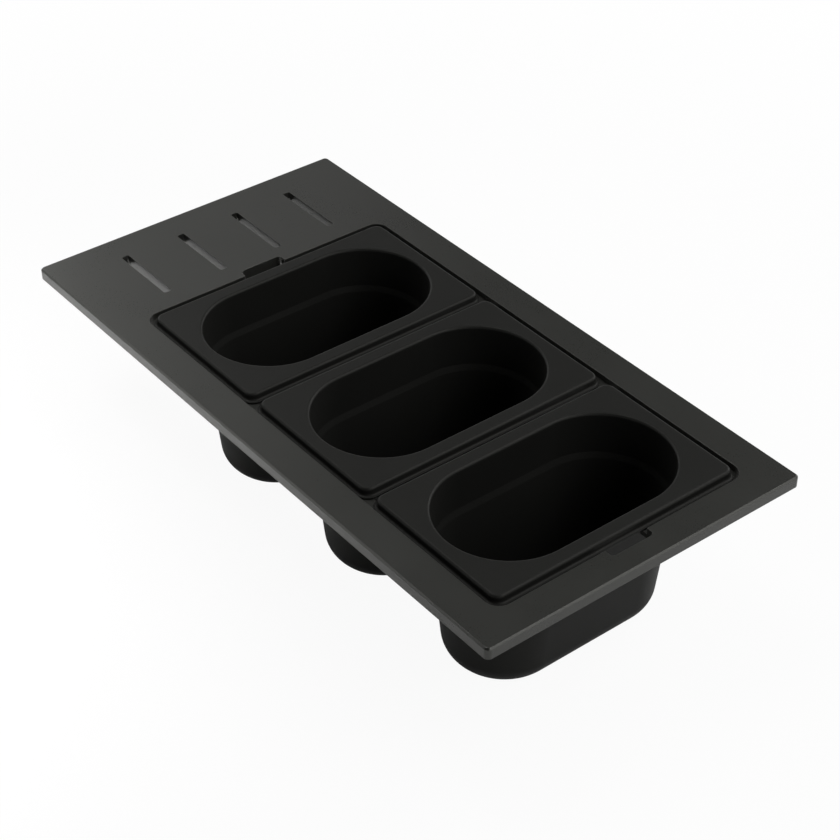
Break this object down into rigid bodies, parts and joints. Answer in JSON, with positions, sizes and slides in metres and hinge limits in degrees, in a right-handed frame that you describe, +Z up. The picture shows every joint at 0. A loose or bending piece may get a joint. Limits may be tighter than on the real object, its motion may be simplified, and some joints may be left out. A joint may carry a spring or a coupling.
{
  "type": "sink insert with lift-out containers",
  "caption": "Flat rectangular frame with knife slots at one end, holding lift-out flanged containers with deep round-ended wells.",
  "frame": {"origin": "centre of the frame in plan, at the height of the surface the containers stand on", "axes": "+Z up, +Y along the frame towards the knife slots, +X to the right when the slots are at the far end"},
  "size_m": [0.224, 0.442, 0.1032],
  "materials": {
    "frame_plastic": "satin",
    "container_plastic": "satin"
  },
  "bodies": {
    "root": {"frame": "frame_plastic", "container_back": "container_plastic", "container_middle": "container_plastic", "container_front": "container_plastic"}
  },
  "joints": []
}
